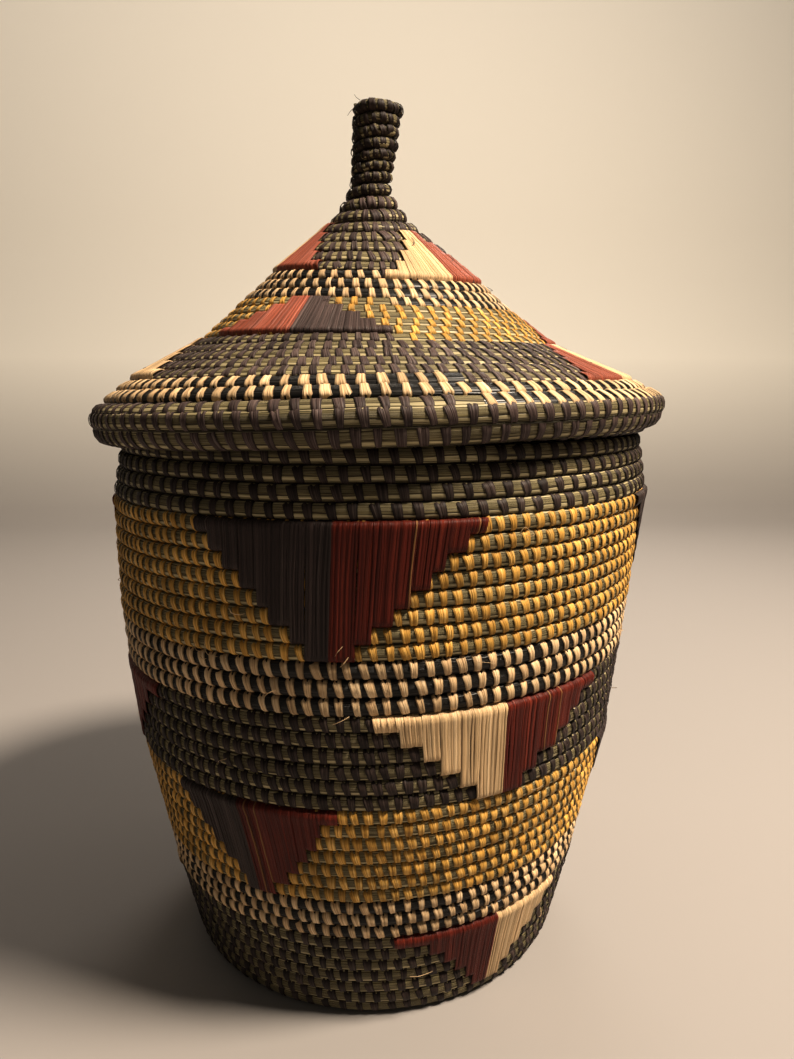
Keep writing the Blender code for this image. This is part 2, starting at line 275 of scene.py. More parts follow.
# Fibres that have come loose. Each is a line of (angle, height, lift off the surface).
LOOSE_FIBRES = {
    "basket": (
        ((-31.2, 0.2388, 0.0010), (-30.8, 0.2348, 0.0024), (-29.8, 0.2316, 0.0024), (-28.6, 0.2316, 0.0008)),
        ((-33.6, 0.2372, 0.0010), (-33.0, 0.2336, 0.0022), (-31.6, 0.2324, 0.0008)),
        ((-32.6, 0.2296, 0.0010), (-31.8, 0.2288, 0.0018), (-31.2, 0.2292, 0.0010)),
        ((-25.8, 0.2580, 0.0010), (-25.0, 0.2560, 0.0020), (-23.6, 0.2556, 0.0018), (-22.8, 0.2560, 0.0006)),
        ((-5.8, 0.2424, 0.0010), (-6.6, 0.2396, 0.0022), (-7.0, 0.2372, 0.0010)),
        ((-4.8, 0.2368, 0.0010), (-5.6, 0.2336, 0.0020), (-6.2, 0.2316, 0.0008)),
        ((83.0, 0.1010, 0.0010), (84.0, 0.0985, 0.0040), (84.0, 0.0950, 0.0080), (84.5, 0.0935, 0.0110)),
        (
            (22.8, 0.2928, 0.0008), (22.2, 0.2956, 0.0022), (22.8, 0.2980, 0.0026), (23.6, 0.2968, 0.0020),
            (24.4, 0.2948, 0.0024), (24.8, 0.2940, 0.0030), (24.0, 0.2932, 0.0024), (23.4, 0.2936, 0.0018),
            (23.8, 0.2912, 0.0020), (24.2, 0.2920, 0.0008),
        ),
    ),
    "lid": (
        ((-57.0, 0.5375, 0.0002), (-70.0, 0.5362, 0.0018), (-80.0, 0.5340, 0.0034)),
        ((-49.0, 0.5405, -0.0010), (-60.0, 0.5430, 0.0000), (-66.0, 0.5450, 0.0006)),
        ((57.0, 0.5392, 0.0000), (64.0, 0.5370, 0.0014), (65.8, 0.5324, 0.0006)),
        ((52.2, 0.4444, 0.0004), (58.0, 0.4460, 0.0020), (60.4, 0.4490, 0.0030)),
    ),
}

# The lamps of the plain studio, with their powers in watts, and the camera.
Light = namedtuple("Light", "name place aim size power colour")
AIM = (0.0, 0.0, 0.25)
WALL_AIM = (0.0, 2.6, 1.05)
LIGHTS = (
    Light("key", (1.012, -0.5175, 1.94), AIM, (0.46, 0.46), 108.0, (1.0, 0.865, 0.70)),
    Light("fill", (-1.2, -1.5, 1.0), AIM, (1.6, 1.6), 0.6, (1.0, 0.90, 0.78)),
    Light("back light", (0.25, 1.45, 1.15), AIM, (0.8, 0.8), 9.0, (1.0, 0.94, 0.86)),
    Light("wall light", (0.0, 0.9, 2.60), WALL_AIM, (5.0, 0.8), 29.0, (1.0, 0.91, 0.80)),
)
ROOM_COLOUR = (1.0, 0.89, 0.74, 1.0)
ROOM_LIGHT = 0.10
ROOM_SEEN = 0.34
CAMERA_PLACE = (0.0, -0.52, 0.36166)
CAMERA_TILT = 79.89
CAMERA_TURN = -1.772
CAMERA_LENS = 25.836
# Below 1, it deepens the shadows as the photograph does.
VIEW_GAMMA = 0.88
# The backdrop: a floor that bends up into a wall, and has the wall's colour from some height.
FLOOR_COLOUR = (0.30, 0.28, 0.27, 1.0)
WALL_COLOUR = (0.85, 0.81, 0.74, 1.0)
STAGE_SIDE = 40.0
STAGE_FRONT = -9.0
BEND_START = 1.6
BEND_RADIUS = 1.0
WALL_TOP = 7.0
PALE_HEIGHT = 0.5


# Rows


# A coil's rows: radius and height of the edges between them, wall of each row, first row of each
# band, seam as a share of a turn, number of level rows at its start, and how it strays.
RowLine = namedtuple("RowLine", "radius height wall first seam level stray")


def mixed(a, b, share):
    return (a[0] + (b[0] - a[0]) * share, a[1] + (b[1] - a[1]) * share)


def above(point, rise, width):
    """Point higher up, at a width given as a share of the base radius."""
    return (width * BASE_RADIUS, point[1] + rise)


def straight(start, end, rows):
    return [mixed(start, end, row / rows) for row in range(1, rows + 1)]


def row_line(start, stages, seam=LID_SEAM, level=0, stray=LID_STRAY):
    """Edges of all rows of one coil, from its stages of (name, edge points, wall)."""
    points, walls, first = [start], [], {}
    for name, edges, wall in stages:
        first.setdefault(name, len(points) - 1)
        points += edges
        walls += [wall] * len(edges)
    radius, height = np.array(points).T
    return RowLine(radius, height, np.array(walls), first, seam / 360, level, np.array(stray).T)


def band_stages(start, bands):
    stages = []
    for band in bands:
        end = above(start, band.rise, band.top)
        stages.append((band.name, straight(start, end, band.rows), WALL))
        start = end
    return stages


def body_line():
    foot = (BASE_RADIUS * FOOT_WIDTH, FOOT_LIFT)
    start = (BASE_TOP * BASE_RADIUS, BASE_HEIGHT)
    stages = [("base_edge_coil", [start], WALL)] + band_stages(start, BODY_BANDS)
    return row_line(foot, stages, BODY_SEAM, 1, BODY_STRAY)


def neck_curve(start, end, share):
    """Curve from the crown to the knob, bent towards the axis."""
    middle = mixed(start, end, 0.5)
    control = (middle[0] - NECK_HOLLOW, middle[1])
    return mixed(mixed(start, control, share), mixed(control, end, share), share)


def thick_rim(line):
    """The same profile with thicker rows at the rim, which leave one row fewer in all."""
    count = len(line.radius) - 2
    plain = (0, *THICK_RIM_EDGES, count - 3.5, count + 1)
    rows = np.interp(range(count + 1), (0, 1, 2, 3, count - 4, count), plain)
    radius = np.interp(rows, range(count + 2), line.radius)
    height = np.interp(rows, range(count + 2), line.height)
    first = {name: max(0, row - 1) for name, row in line.first.items()}
    return line._replace(radius=radius, height=height, wall=line.wall[1:], first=first)


def lid_line(mouth):
    start = above(mouth, -RIM_DROP, RIM_BOTTOM)
    stages = []
    edge = start
    for wall, (rise, width) in zip(RIM_WALLS, RIM_ROWS):
        edge = above(edge, rise, width)
        stages.append(("lid_rim_coils", [edge], wall))
    stages += band_stages(edge, LID_BANDS)
    crown = stages[-1][1][-1]
    shoulder = above(crown, *CROWN_SHOULDER)
    cone = above(shoulder, *CROWN_CONE)
    neck = (NECK_RADIUS, cone[1] + NECK_RISE)
    knob = (KNOB_RADIUS, neck[1] + KNOB_HEIGHT)
    stages.append(("lid_crown_coils", [shoulder] + straight(shoulder, cone, CROWN_CONE_ROWS), WALL))
    curve = [neck_curve(cone, neck, (row + 1) / NECK_ROWS) for row in range(NECK_ROWS)]
    stages.append(("lid_neck_coils", curve, WALL))
    stages.append(("lid_knob_coil", straight(neck, knob, KNOB_ROWS), WALL))
    return thick_rim(row_line(start, stages))


def base_line():
    middle = (0.0, FOOT_LIFT)
    edge = (BASE_RADIUS * (BASE_ROWS - 1) / BASE_ROWS, FOOT_LIFT)
    rows = straight(middle, edge, BASE_ROWS - 1)
    return row_line(middle, [("base_coil", rows, BASE_HEIGHT)], BODY_SEAM, 0, BODY_STRAY)


BASE = base_line()
BODY = body_line()
MOUTH = (BODY.radius[-1], BODY.height[-1])
SEAT_HEIGHT = MOUTH[1] + GAP / 2
LID = lid_line(MOUTH)


def collar_line():
    outer = MOUTH[0] - WALL - COLLAR_CLEARANCE
    foot = (outer, SEAT_HEIGHT - COLLAR_DEPTH)
    rows = straight(foot, (outer, SEAT_HEIGHT), COLLAR_ROWS)
    return row_line(foot, [("lid_collar_coils", rows, COLLAR_WALL)], stray=BODY_STRAY)


def seat_line():
    bore = MOUTH[0] + RIM_CLEARANCE
    inner = (bore - 2 * SEAT_WIDTH, SEAT_HEIGHT + SEAT_LIFT)
    rows = straight(inner, (bore + SEAT_OVERLAP, inner[1]), 2)
    return row_line(inner, [("lid_seat_coils", rows, SEAT_THICKNESS)], stray=BODY_STRAY)


COLLAR = collar_line()
SEAT = seat_line()


def smooth(share):
    share = np.clip(share, 0.0, 1.0)
    return share * share * (3 - 2 * share)


def pitch(line, edge):
    """Share of a row that an edge climbs in its turn, less near the ends of the coil."""
    count = len(line.radius) - 1
    return smooth(np.minimum(edge - line.level, count - edge) / CLIMB_ROWS)


def underside(line, row, share):
    """Lower edge of a row, counted in rows, at a share of its turn that starts at the seam."""
    count = len(line.radius) - 1
    level = row + pitch(line, row) * (share + line.seam - 1)
    before = row - 1 + pitch(line, row - 1) * line.seam
    edge = before + (level - before) * smooth(share / SEAM_CLIMB)
    return np.clip(np.where(row <= 0, 0.0, edge), 0.0, count)


def placed(line, radius, height, angle):
    """Points in space, strayed as this handmade coil is."""
    shift, slope, sag = (np.interp(height, line.stray[0], values) for values in line.stray[1:])
    x = radius * np.sin(angle)
    y = -radius * np.cos(angle)
    front = np.clip(np.cos(angle), 0.0, 1.0) ** 1.5
    return np.stack([x + shift, y, height + slope * x - sag * front], axis=-1)


def turned(radial, rising, angle):
    return np.stack([radial * np.sin(angle), -radial * np.cos(angle), rising], axis=-1)


def line_at(line, rows):
    number = np.arange(len(line.radius))
    return np.interp(rows, number, line.radius), np.interp(rows, number, line.height)


def climb_at(line, rows, reach):
    """Direction of the profile at some rows, and its length from reach below to reach above."""
    count = len(line.radius) - 1
    ra, za = line_at(line, np.clip(rows - reach, 0, count))
    rb, zb = line_at(line, np.clip(rows + reach, 0, count))
    length = np.hypot(rb - ra, zb - za)
    return (rb - ra) / length, (zb - za) / length, length


def hand(turns, seed):
    """Small uneven waves along a coil, from -1 to 1."""
    phases = np.random.RandomState(seed).uniform(0, 2 * pi, 4)
    waves = [np.sin(2 * pi * turns * rate + phase) for rate, phase in zip((3.3, 7.7, 17.1, 31.9), phases)]
    return sum(waves) / 4


def along_coil(line, turns, uneven=EVEN):
    """Centre, directions and half sizes of the coil at each turn count."""
    count = len(line.radius) - 1
    row = np.minimum(np.floor(turns), count)
    share = turns - row
    low = underside(line, row, share)
    high = underside(line, row + 1, share)
    angle = 2 * pi * (share + line.seam - 1)
    r0, z0 = line_at(line, low)
    r1, z1 = line_at(line, high)
    dr, dz, length = climb_at(line, (low + high) / 2, 0.5)
    half = np.maximum(np.hypot(r1 - r0, z1 - z0) / 2, 0.0004)
    wall = line.wall[np.clip(row.astype(int), 0, count - 1)]
    deep = wall / 2 * np.clip(2.2 * half / length, 0.3, 1.0)
    centre = placed(line, (r0 + r1) / 2 - dz * deep, (z0 + z1) / 2 + dr * deep, angle)
    out = turned(dz, -dr, angle)
    up = turned(dr, dz, angle)
    along = np.stack([np.cos(angle), np.sin(angle), 0 * angle], axis=-1)
    centre = centre + out * (hand(turns, 3) * uneven)[:, None] + up * (hand(turns, 8) * uneven)[:, None]
    return {"centre": centre, "out": out, "up": up, "along": along, "half": half, "deep": deep}


def even_turns(line, start, end, spacing, drift=0.0):
    """Turn counts from start to end, a whole number of steps to each turn, near the spacing."""
    turns = []
    turn = start
    count = len(line.radius) - 1
    while turn < end - 1e-6:
        row = min(int(turn + 1e-6), count - 1)
        radius = (line.radius[row] + line.radius[row + 1]) / 2
        steps = max(5, round(2 * pi * radius / spacing)) + drift
        turns.append(turn)
        turn += 1 / steps
    return np.array(turns)


# Paths and geometry node trees


def path_object(chains, values, loose=False):
    """Mesh of points, joined in chains, that carries values for the node trees."""
    mesh = bpy.data.meshes.new("path")
    edges = []
    start = 0
    for chain in chains:
        edges += [] if loose else [(i, i + 1) for i in range(start, start + len(chain) - 1)]
        start += len(chain)
    mesh.from_pydata(np.concatenate(chains).tolist(), edges, [])
    for key, parts in values.items():
        data = np.concatenate(parts).astype(np.float32)
        flat = data.ndim == 1
        made = mesh.attributes.new(key, "FLOAT" if flat else "FLOAT_VECTOR", "POINT")
        made.data.foreach_set("value" if flat else "vector", data.ravel())
    return linked("path", mesh)


def linked(name, data):
    item = bpy.data.objects.new(name, data)
    bpy.context.scene.collection.objects.link(item)
    return item


class Tree:
    """Small helper that adds and joins nodes."""

    def __init__(self, tree):
        self.tree = tree

    def add(self, kind, inputs=(), **settings):
        node = self.tree.nodes.new(kind)
        for key, value in settings.items():
            setattr(node, key, value)
        for key, value in dict(inputs).items():
            self.put(node.inputs[key], value)
        return node

    def put(self, socket, value):
        if isinstance(value, bpy.types.NodeSocket):
            self.tree.links.new(value, socket)
        else:
            socket.default_value = value

    def number(self, name):
        """A number read from the points, such as a half size."""
        node = self.add("GeometryNodeInputNamedAttribute", {"Name": name}, data_type="FLOAT")
        return node.outputs["Attribute"]

    def arrow(self, name):
        node = self.add("GeometryNodeInputNamedAttribute", {"Name": name}, data_type="FLOAT_VECTOR")
        return node.outputs["Attribute"]

    def store(self, geometry, name, value, kind="FLOAT", domain="POINT"):
        """The geometry with a value kept on it."""
        inputs = {"Geometry": geometry, "Name": name, "Value": value}
        node = self.add("GeometryNodeStoreNamedAttribute", inputs, data_type=kind, domain=domain)
        return node.outputs[0]

    def math(self, kind, a, b=0.0, c=0.0):
        node = self.tree.nodes.new("ShaderNodeMath")
        node.operation = kind
        for socket, value in zip(node.inputs, (a, b, c)):
            self.put(socket, value)
        return node.outputs[0]

    def times(self, a, b):
        return self.math("MULTIPLY", a, b)

    def times_plus(self, a, b, c):
        return self.math("MULTIPLY_ADD", a, b, c)

    def vector(self, kind, a, b=None, scale=None):
        node = self.tree.nodes.new("ShaderNodeVectorMath")
        node.operation = kind
        self.put(node.inputs[0], a)
        if b is not None:
            self.put(node.inputs[1], b)
        if scale is not None:
            self.put(node.inputs["Scale"], scale)
        return node.outputs["Value"] if kind == "DOT_PRODUCT" else node.outputs["Vector"]

    def three(self, x, y, z):
        return self.add("ShaderNodeCombineXYZ", {"X": x, "Y": y, "Z": z}).outputs[0]

    def noise(self, vector, detail=1.0, scale=1.0):
        node = self.add("ShaderNodeTexNoise", {"Vector": vector, "Scale": scale, "Detail": detail})
        return node.outputs[0]


def new_tree(name, kind, inputs, outputs, output_type):
    """Tree with named sockets. An input gives its first number, or else its type."""
    tree = bpy.data.node_groups.new(name, kind)
    for label, value in inputs.items():
        word = value if isinstance(value, str) else {float: "Float", int: "Int"}[type(value)]
        made = tree.interface.new_socket(label, in_out="INPUT", socket_type="NodeSocket" + word)
        if word != value:
            made.default_value = value
    for label in outputs:
        tree.interface.new_socket(label, in_out="OUTPUT", socket_type="NodeSocket" + output_type)
    return tree


def shape_tree(name, inputs):
    inputs = {"Geometry": "Geometry", **inputs, "Material": "Material"}
    return new_tree(name, "GeometryNodeTree", inputs, ["Geometry"], "Geometry")


def finish_tree(t, geometry, material):
    """Give out real faces with their material, because the export drops instances."""
    whole = t.add("GeometryNodeRealizeInstances", {"Geometry": geometry})
    coated = t.add("GeometryNodeSetMaterial", {"Geometry": whole.outputs[0], "Material": material})
    t.add("NodeGroupOutput", {"Geometry": coated.outputs[0]})


def rod_tree():
    """Rods along paths: stem bundles, raffia strands and loose fibres."""
    tree = shape_tree(
        "rods along paths",
        {
            "Sides": 12, "Roundness": 1.0, "Ripple": 0.05, "Ripples Across": 5.0, "Ripples Along": 20.0,
            "Seed": 1.0,
        },
    )
    t = Tree(tree)
    given = t.add("NodeGroupInput").outputs
    place = t.add("GeometryNodeInputPosition").outputs[0]
    spline = t.add("GeometryNodeSplineParameter").outputs

    def squared(value):
        size = t.math("POWER", t.math("ABSOLUTE", value), given["Roundness"])
        return t.times(t.math("SIGN", value), size)

    curve = t.add("GeometryNodeMeshToCurve", {"Mesh": given["Geometry"]}).outputs["Curve"]
    curve = t.add("GeometryNodeSetCurveNormal", {"Curve": curve, "Normal": t.arrow("out")}, mode="FREE")
    path = t.store(curve.outputs[0], "centre", place, "FLOAT_VECTOR")
    path = t.store(path, "reach", spline["Length"])
    ring = t.add("GeometryNodeCurvePrimitiveCircle", {"Resolution": given["Sides"], "Radius": 1.0})
    ring = t.store(ring.outputs["Curve"], "across", spline["Factor"])
    rods = t.add("GeometryNodeCurveToMesh", {"Curve": path, "Profile Curve": ring, "Fill Caps": True})
    centre = t.arrow("centre")
    offset = t.vector("SUBTRACT", place, centre)
    out = t.vector("DOT_PRODUCT", offset, t.arrow("out"))
    up = t.vector("DOT_PRODUCT", offset, t.arrow("up"))
    # How near each point is to the rod's side; the fibre material darkens those sides as painted shade.
    rods = t.store(rods.outputs[0], "edge", t.math("ABSOLUTE", up))
    wave_place = t.three(
        t.times(t.number("across"), given["Ripples Across"]),
        t.times(t.number("reach"), given["Ripples Along"]),
        t.times_plus(t.number("tone"), 40.0, given["Seed"]),
    )
    wave = t.math("SUBTRACT", 1.0, t.times(t.noise(wave_place), given["Ripple"]))
    deep = t.times(t.times(squared(out), t.number("deep")), wave)
    half = t.times(squared(up), t.number("half"))
    moved = t.vector("ADD", centre, t.vector("SCALE", t.arrow("out"), scale=deep))
    moved = t.vector("ADD", moved, t.vector("SCALE", t.arrow("up"), scale=half))
    sized = t.add("GeometryNodeSetPosition", {"Geometry": rods, "Position": moved})
    finish_tree(t, sized.outputs[0], given["Material"])
    return tree


def wrap_tree():
    """One raffia wrap at each stitch, out of three shapes, with uneven width, slant and tone."""
    tree = shape_tree(
        "wraps at stitches",
        {
            "Shapes": "Collection", "Width": 0.005, "Width Spread": 0.16, "Slant": 0.1,
            "Slant Spread": 0.12, "Wander": 0.0008, "Swell": 0.04, "Seed": 1,
        },
    )
    t = Tree(tree)
    given = t.add("NodeGroupInput").outputs

    def scatter(low, high, offset, kind="FLOAT"):
        """A random value at each stitch."""
        node = t.add("FunctionNodeRandomValue", data_type=kind)
        limits = [s for s in node.inputs if s.enabled and s.name in ("Min", "Max")]
        t.put(limits[0], low)
        t.put(limits[1], high)
        t.put(node.inputs["Seed"], t.math("ADD", given["Seed"], offset))
        return next(s for s in node.outputs if s.enabled)

    place = t.add("GeometryNodeInputPosition").outputs[0]
    sway = t.math("SUBTRACT", t.noise(t.vector("SCALE", place, scale=22.0)), 0.5)
    sway = t.times_plus(sway, 3.0, scatter(-0.7, 0.7, 1))
    shift = t.vector("SCALE", t.arrow("along"), scale=t.times(sway, given["Wander"]))
    points = t.add("GeometryNodeMeshToPoints", {"Mesh": given["Geometry"]})
    points = t.add("GeometryNodeSetPosition", {"Geometry": points.outputs[0], "Offset": shift})
    facing = t.add("FunctionNodeAxesToRotation", primary_axis="Z", secondary_axis="X")
    t.put(facing.inputs[0], t.arrow("out"))
    t.put(facing.inputs[1], t.arrow("along"))
    slant = t.times_plus(scatter(-1.0, 1.0, 2), given["Slant Spread"], given["Slant"])
    lean = t.add("FunctionNodeAxisAngleToRotation", {"Axis": (0.0, 0.0, 1.0), "Angle": slant})
    pose = t.add("FunctionNodeRotateRotation", rotation_space="LOCAL")
    t.put(pose.inputs[0], facing.outputs[0])
    t.put(pose.inputs[1], lean.outputs[0])
    width = t.times_plus(scatter(-1.0, 1.0, 3), given["Width Spread"], 1.0)
    swell = t.times_plus(scatter(-1.0, 1.0, 4), given["Swell"], 1.0)
    size = t.three(t.times(width, given["Width"]), t.number("half"), t.times(t.number("deep"), swell))
    shapes = t.add(
        "GeometryNodeCollectionInfo",
        {"Collection": given["Shapes"], "Separate Children": True, "Reset Children": True},
    )
    wraps = t.add(
        "GeometryNodeInstanceOnPoints",
        {
            "Points": points.outputs[0],
            "Instance": shapes.outputs[0],
            "Pick Instance": True,
            "Instance Index": scatter(0, 2, 5, "INT"),
            "Rotation": pose.outputs[0],
            "Scale": size,
        },
    )
    toned = t.store(wraps.outputs[0], "tone", scatter(0.0, 1.0, 6), domain="INSTANCE")
    finish_tree(t, toned, given["Material"])
    return tree


KEPT_VALUES = {"across", "reach", "tone", "edge", "position", "sharp_face", "sharp_edge", "material_index"}


def grown(name, source, tree, settings):
    """Run a node tree on a path and keep the result as a plain mesh piece."""
    modifier = source.modifiers.new("shape", "NODES")
    modifier.node_group = tree
    sockets = {s.name: s.identifier for s in tree.interface.items_tree if s.in_out == "INPUT"}
    for label, value in settings.items():
        modifier[sockets[label]] = value
    graph = bpy.context.evaluated_depsgraph_get()
    done = source.evaluated_get(graph)
    mesh = bpy.data.meshes.new_from_object(done, preserve_all_data_layers=True, depsgraph=graph)
    source.modifiers.remove(modifier)
    bpy.data.objects.remove(source)
    mesh.name = name
    for key in [a.name for a in mesh.attributes]:
        if key not in KEPT_VALUES and not key.startswith("."):
            mesh.attributes.remove(mesh.attributes[key])
    mesh.shade_smooth()
    return linked(name, mesh)


class Rods:
    """Paths of rods, with the directions, half sizes and tone at their points."""

    def __init__(self):
        self.chains = []
        self.values = {"out": [], "up": [], "half": [], "deep": [], "tone": []}

    def lay(self, points, out, up, half, deep, tone):
        self.chains.append(points)
        for key, arrow in (("out", out), ("up", up)):
            self.values[key].append(np.broadcast_to(arrow, points.shape))
        for key, number in (("half", half), ("deep", deep), ("tone", tone)):
            self.values[key].append(np.broadcast_to(number, len(points)))

    def grown(self, name, tools, material, **settings):
        settings["Material"] = tools["materials"][material]
        return grown(name, path_object(self.chains, self.values), tools["rods"], settings)


def belongs(item, body, node=None):
    """Say which body a piece rides on, and hide the CAD node it stands for."""
    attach(item, body)
    if node:
        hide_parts(node)


# Wrap shapes


# Each shape's name, how far its seven columns sink, depth of its fork, taper, lean.
WRAP_SHAPES = (
    ("wrap of two strips", (0, 0, 0.0, 0.05, 0.0, 0, 0), 0.10, 0.34, 0.16),
    ("wrap of three strips", (0, 0.01, 0.05, 0.0, 0.05, 0.0, 0), 0.03, 0.26, 0.22),
    ("flat wrap", (0, 0.03, 0.0, 0.03, 0.01, 0.02, 0), 0.07, 0.40, 0.10),
)
# Columns across a wrap and how high each one bulges. Rings round the row, as an angle and how far
# down the wrap it is, the last of them on the row's inner side.
COLUMNS = (-0.5, -0.44, -0.20, 0.0, 0.20, 0.44, 0.5)
BULGE = (0.93, 0.995, 1.02, 1.0, 1.02, 0.995, 0.93)
RINGS = (
    (92, 0.0), (70, 0.0), (42, 0.12), (8, 0.38), (-28, 0.68), (-58, 0.92), (-80, 1.0),
    (-120, 0.8), (170, 0.4), (125, 0.1),
)
STITCH_ANGLE = -80
STITCH_LENGTH = 1.07
# How deep the fork is at each of the top rings, as a share.
FORK = {92: 1.0, 70: 1.0, 42: 0.35}
RING_STEP = 0.0023


def wrap_shape(name, sunk, fork, taper, lean, roundness):
    """Loop of raffia round a row of unit size and unit width. On the outer side it is wide and
    split at the top, where the next wrap comes through it, and narrows to its own stitch below."""
    verts, faces, reach, across, edge = [], [], [], [], []

    def squared(value):
        return np.sign(value) * abs(value) ** roundness

    columns, rings = len(COLUMNS), len(RINGS)
    for ring, (angle, low) in enumerate(RINGS):
        turn = radians(angle)
        width = 1.0 - taper * low
        middle = lean * (low - 0.45)
        tip = STITCH_LENGTH if angle == STITCH_ANGLE else 1.0
        for column, x in enumerate(COLUMNS):
            rise = BULGE[column] - sunk[column]
            if x == 0:
                rise -= fork * FORK.get(angle, 0.0)
            verts.append((middle + x * width, tip * rise * squared(sin(turn)), rise * squared(cos(turn))))
            reach.append(RING_STEP * ring)
            across.append(column / (columns - 1))
            # How near each point is to the wrap's side; the fibre material darkens those sides as painted
            # shade.
            edge.append(abs(2 * x))
        for column in range(columns - 1):
            a = ring * columns + column
            b = (ring + 1) % rings * columns + column
            faces.append((a, b, b + 1, a + 1))
    mesh = bpy.data.meshes.new(name)
    mesh.from_pydata(verts, [], faces)
    for key, data in (("reach", reach), ("across", across), ("edge", edge)):
        made = mesh.attributes.new(key, "FLOAT", "POINT")
        made.data.foreach_set("value", np.array(data, np.float32))
    mesh.shade_smooth()
    return bpy.data.objects.new(name, mesh)


def wrap_shapes(kind):
    group = bpy.data.collections.new(kind + " wrap shapes")
    for shape in WRAP_SHAPES:
        group.objects.link(wrap_shape(*shape, ROUNDNESS[kind]))
    return group


# Materials


def stored(t, name):
    return t.add("ShaderNodeAttribute", attribute_type="GEOMETRY", attribute_name=name).outputs["Fac"]


def between(t, value, low, high, new_low=0.0, new_high=1.0):
    """Value stretched from one range to another, and held at its ends."""
    node = t.add(
        "ShaderNodeMapRange",
        {"Value": value, "From Min": low, "From Max": high, "To Min": new_low, "To Max": new_high},
    )
    return node.outputs[0]


def cells(t, place, **settings):
    """Cells of uneven width side by side, such as stems."""
    inputs = {"W": place, "Scale": 1.0}
    return t.add("ShaderNodeTexVoronoi", inputs, voronoi_dimensions="1D", **settings).outputs


def patches(t, scale, low, high, dark, pale):
    """Broad patches of lighter and darker colour over the whole object."""
    place = t.add("ShaderNodeTexCoord").outputs["Object"]
    return between(t, t.noise(place, 2.0, scale), low, high, dark, pale)


def blended(t, share, first, second):
    """Colour that turns from the first into the second as the share goes from 0 to 1."""
    node = t.add("ShaderNodeMix", data_type="RGBA")
    for socket, value in (("Factor", share), (6, first), (7, second)):
        t.put(node.inputs[socket], value)
    return node.outputs[2]


def surface_group(name, inputs):
    group = new_tree(name, "ShaderNodeTree", inputs, ("Shade", "Relief", "Light"), "Float")
    t = Tree(group)
    return group, t, t.add("NodeGroupInput").outputs


def fibre_group():
    """Fine fibres along a strip, with dark lines where strands lie side by side. It reads the place
    across and along the strip, and its tone."""
    group, t, given = surface_group("raffia fibres", WRAP_FIBRES)
    across, reach, tone, edge = (stored(t, name) for name in ("across", "reach", "tone", "edge"))
    along = t.times(reach, given["Fibres Along"])
    own = t.times(tone, 61.0)
    grain = t.noise(t.three(t.times(across, given["Fibres Across"]), along, own), 2.0)
    broad = t.noise(t.three(t.times(across, 3.0), t.times(along, 0.4), own))
    place = t.times_plus(across, given["Strands Across"], t.times_plus(broad, 1.3, own))
    strand = between(t, cells(t, place, feature="DISTANCE_TO_EDGE")["Distance"], 0.0, 0.16)
    mixture = t.times_plus(grain, 0.6, t.times(broad, 0.4))
    darkest = t.math("SUBTRACT", 0.5, given["Softness"])
    palest = t.math("ADD", 0.5, given["Softness"])
    lines = between(t, strand, 0.0, 1.0, given["Line Shade"], 1.0)
    # Painted shade: the sides of a wrap or strand, where it meets the ground or the next strand, are
    # darkened.
    rim = t.times(between(t, edge, 0.6, 1.0), given["Edge Shade"])
    patch = patches(t, 26.0, 0.3, 0.7, 0.80, 1.14)
    outputs = {
        "Shade": t.times(between(t, mixture, darkest, palest), lines),
        "Relief": t.times_plus(strand, 0.5, grain),
        "Light": t.times(patch, t.math("SUBTRACT", 1.0, rim)),
    }
    t.add("NodeGroupOutput", outputs)
    return group


def stem_group():
    """Grass stems side by side round the bundle, each with its own shade and dark lines between."""
    group, t, given = surface_group("grass stems", ROUND_STEMS)
    across, reach = stored(t, "across"), stored(t, "reach")
    along = t.times(reach, given["Wander Along"])
    sway = t.noise(t.three(t.times(across, 5.0), along, 0.0))
    row = t.times_plus(across, given["Stems Round"], t.times(sway, 2.6))
    own = t.add("ShaderNodeSeparateColor", {"Color": cells(t, row)["Color"]}).outputs[0]
    stem = between(t, cells(t, row, feature="DISTANCE_TO_EDGE")["Distance"], 0.0, 0.22)
    streak = t.noise(t.three(t.times(row, 3.0), t.times(along, 3.0), t.times(own, 9.0)), 2.0)
    shade = t.times_plus(own, 0.45, t.times(streak, 0.85))
    outputs = {
        "Shade": t.times(between(t, shade, 0.25, 1.0), stem),
        "Relief": t.times_plus(stem, 0.8, t.times(streak, 0.25)),
        "Light": patches(t, 21.0, 0.32, 0.68, 0.62, 1.15),
    }
    t.add("NodeGroupOutput", outputs)
    return group


def plant_material(name, group, settings, stops, bump, rough, spread, sheen, accent=None):
    """Fibre colours from dark to pale, with uneven tone, painted shade on darkened sides and on the dark
    groove strips, relief, and sheen on the pale fibres.
    """
    made = bpy.data.materials.new(name)
    made.use_nodes = True
    t = Tree(made.node_tree)
    shader = made.node_tree.nodes["Principled BSDF"]
    fibre = t.add("ShaderNodeGroup", node_tree=group)
    for label, value in settings.items():
        fibre.inputs[label].default_value = value
    shade, relief, light = (fibre.outputs[label] for label in ("Shade", "Relief", "Light"))
    ramp = t.add("ShaderNodeValToRGB", {"Fac": shade})
    for number, (place, colour) in enumerate(stops):
        stop = ramp.color_ramp.elements[number] if number < 2 else ramp.color_ramp.elements.new(place)
        stop.position = place
        stop.color = (*colour, 1.0)
    colour = ramp.outputs["Color"]
    tone = stored(t, "tone")
    if accent:
        colour = blended(t, between(t, tone, *ODD_TONES), colour, (*accent, 1.0))
    own = between(t, tone, 0.0, 1.0, 1.0 - spread, 1.0 + spread)
    t.put(shader.inputs["Base Color"], t.vector("SCALE", colour, scale=t.times(own, light)))
    t.put(shader.inputs["Roughness"], between(t, shade, 0.0, 1.0, rough[0], rough[1]))
    shader.inputs["Specular IOR Level"].default_value = sheen
    bumps = t.add("ShaderNodeBump", {"Strength": bump, "Distance": BUMP_HEIGHT, "Height": relief})
    t.put(shader.inputs["Normal"], bumps.outputs[0])
    return made


BUMP_HEIGHT = 0.0004
